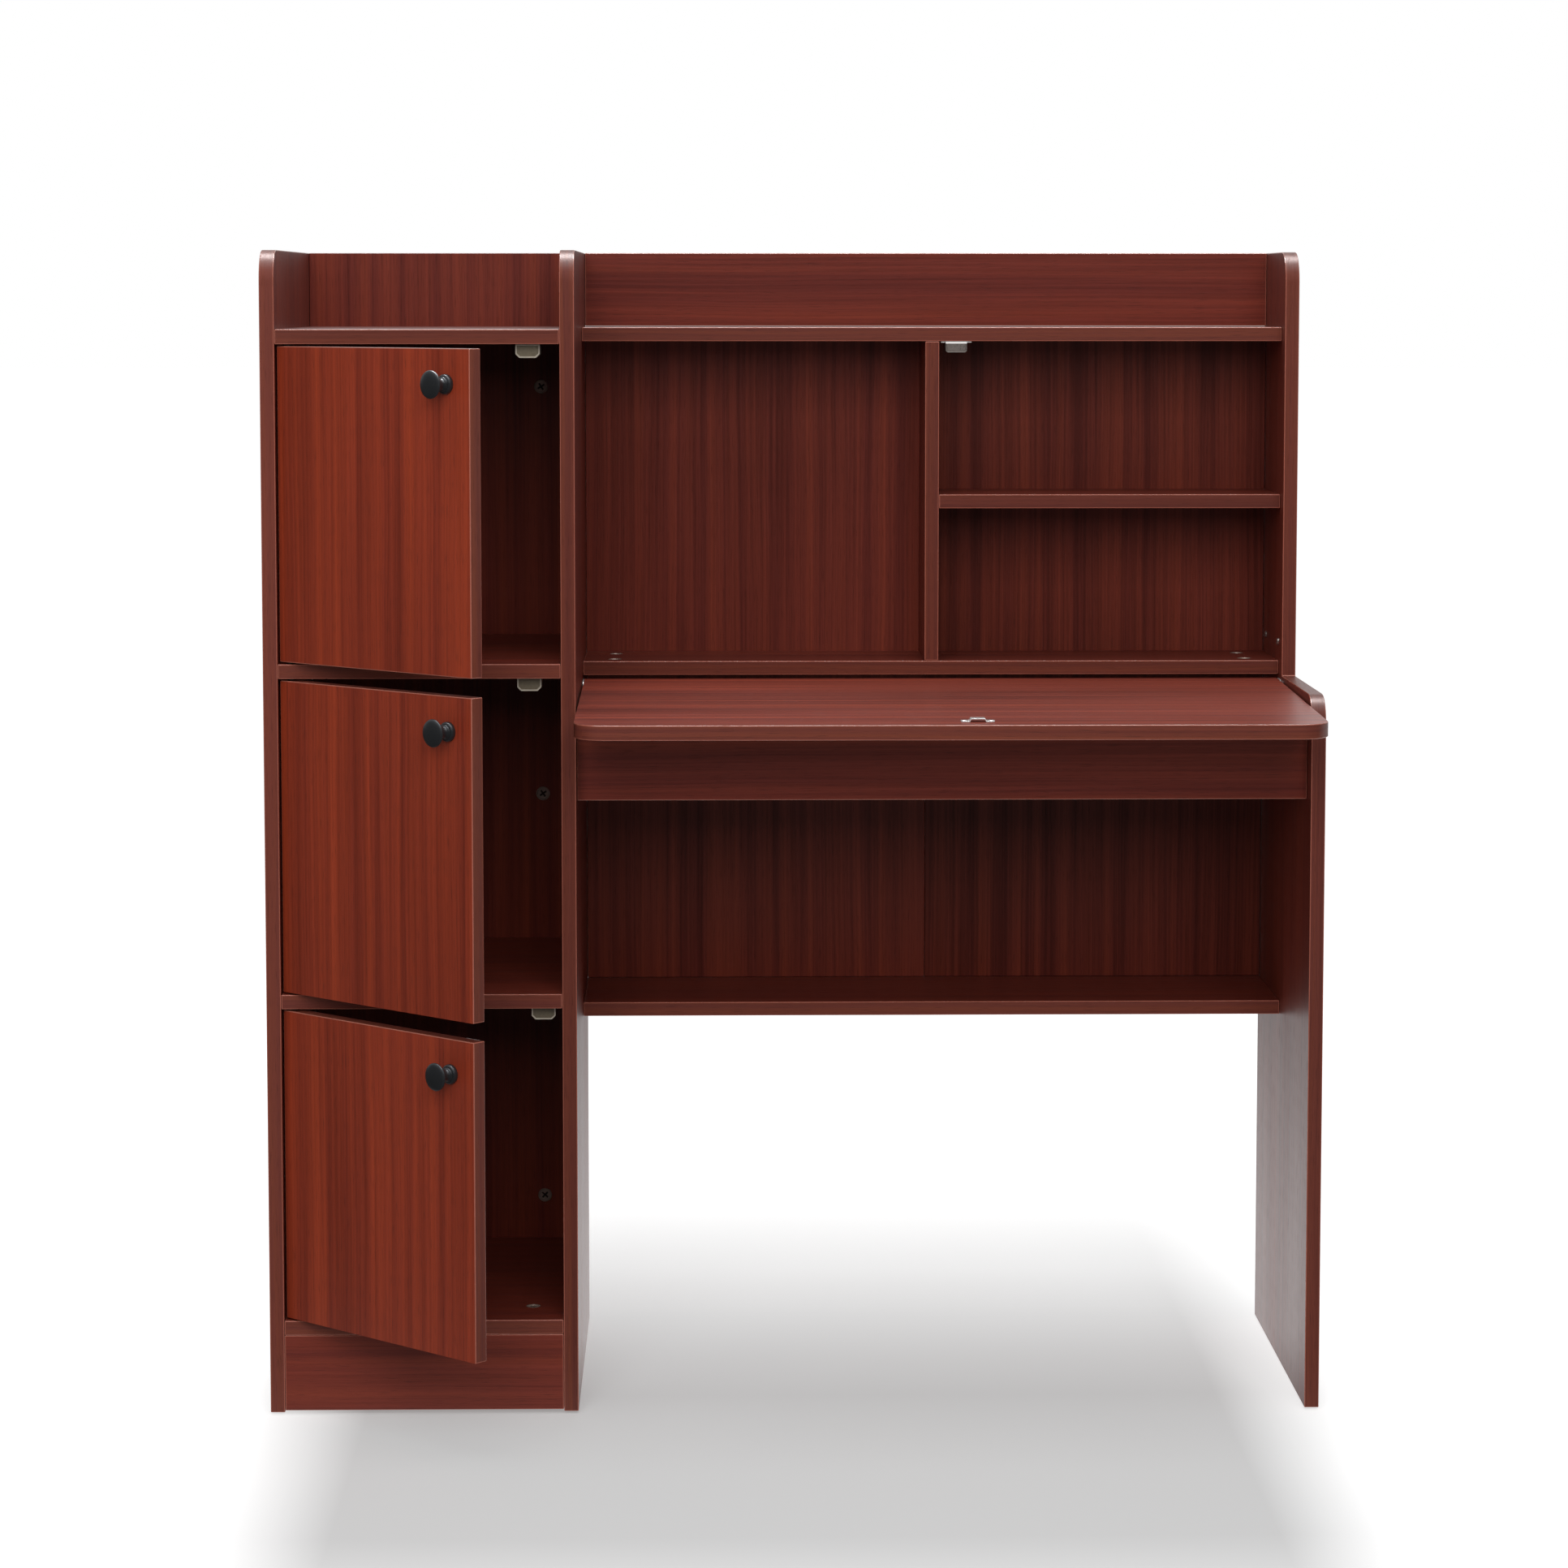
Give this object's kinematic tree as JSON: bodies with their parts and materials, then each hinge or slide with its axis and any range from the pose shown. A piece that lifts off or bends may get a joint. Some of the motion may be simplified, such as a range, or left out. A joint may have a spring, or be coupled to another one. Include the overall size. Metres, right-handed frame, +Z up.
{
  "type": "secretary desk",
  "caption": "Upright desk with a three-door storage tower, an open hutch and a drop-front desktop that folds up to close the hutch.",
  "frame": {"origin": "on the floor, at the centre of the underside of the middle upright's front foot glide", "axes": "+X to the desk's right as its user sees it, +Y towards the wall, +Z up"},
  "size_m": [1.089, 0.5792, 1.203],
  "materials": {
    "carcass_laminate": "semi-gloss red-brown mahogany laminate on board",
    "desktop_laminate": "semi-gloss mahogany laminate, grain along the desk's width",
    "door_laminate": "semi-gloss red mahogany laminate, upright grain",
    "black_enamel": "satin black",
    "bright_steel": "bright plated",
    "cream_plastic": "putty-coloured moulded plastic",
    "cam_metal": "brown die-cast metal",
    "pale_plastic": "pale moulded plastic"
  },
  "bodies": {
    "carcass": {"left_upright": "carcass_laminate", "middle_upright": "carcass_laminate", "right_upright": "carcass_laminate", "tower_top_shelf": "carcass_laminate", "tower_shelf_upper": "carcass_laminate", "tower_shelf_lower": "carcass_laminate", "tower_floor_board": "carcass_laminate", "tower_kick_board": "carcass_laminate", "tower_back_board": "carcass_laminate", "hutch_top_shelf": "carcass_laminate", "hutch_gallery_board": "carcass_laminate", "hutch_divider": "carcass_laminate", "hutch_middle_shelf": "carcass_laminate", "hutch_bottom_board": "carcass_laminate", "hutch_back_left": "carcass_laminate", "hutch_back_right": "carcass_laminate", "lower_shelf": "carcass_laminate", "apron": "carcass_laminate", "door_pin_upper_top": "bright_steel", "door_pin_upper_bottom": "bright_steel", "door_pin_middle_top": "bright_steel", "door_pin_middle_bottom": "bright_steel", "door_pin_lower_top": "bright_steel", "door_pin_lower_bottom": "bright_steel", "door_catch_upper": "cream_plastic", "door_catch_middle": "cream_plastic", "door_catch_lower": "cream_plastic", "leaf_catch": "bright_steel", "leaf_pivot_left": "bright_steel", "leaf_pivot_right": "bright_steel", "cam_lock_back_upper": "cam_metal", "cam_lock_back_middle": "cam_metal", "cam_lock_back_lower": "cam_metal", "cam_lock_floor": "cam_metal", "cam_lock_hutch_left_front": "cam_metal", "cam_lock_hutch_left_rear": "cam_metal", "cam_lock_hutch_right_front": "cam_metal", "cam_lock_hutch_right_rear": "cam_metal", "upright_screw_front": "bright_steel", "upright_screw_rear": "bright_steel", "foot_glide_left_front": "pale_plastic", "foot_glide_left_rear": "pale_plastic", "foot_glide_middle_front": "pale_plastic", "foot_glide_middle_rear": "pale_plastic", "foot_glide_right_front": "pale_plastic", "foot_glide_right_rear": "pale_plastic"},
    "door_upper": {"door_upper": "door_laminate", "knob_upper": "black_enamel", "knob_screw_upper": "bright_steel", "door_strike_upper": "bright_steel"},
    "door_middle": {"door_middle": "door_laminate", "knob_middle": "black_enamel", "knob_screw_middle": "bright_steel", "door_strike_middle": "bright_steel"},
    "door_lower": {"door_lower": "door_laminate", "knob_lower": "black_enamel", "knob_screw_lower": "bright_steel", "door_strike_lower": "bright_steel"},
    "leaf": {"desktop_leaf": "desktop_laminate", "leaf_strike": "bright_steel"}
  },
  "joints": [
    {"name": "door_upper_hinge", "type": "hinge", "parent": "carcass", "child": "door_upper", "pos_m": [-0.2825, -0.0125, 0.7835], "axis": [0, 0, -1], "range_deg": [-43, 62]},
    {"name": "door_middle_hinge", "type": "hinge", "parent": "carcass", "child": "door_middle", "pos_m": [-0.2825, -0.0125, 0.4425], "axis": [0, 0, -1], "range_deg": [-43, 62]},
    {"name": "door_lower_hinge", "type": "hinge", "parent": "carcass", "child": "door_lower", "pos_m": [-0.2825, -0.0125, 0.1015], "axis": [0, 0, -1], "range_deg": [-43, 62]},
    {"name": "leaf_hinge", "type": "hinge", "parent": "carcass", "child": "leaf", "pos_m": [0.385, 0.22, 0.7355], "axis": [-1, 0, 0], "range_deg": [0, 91.3]}
  ]
}
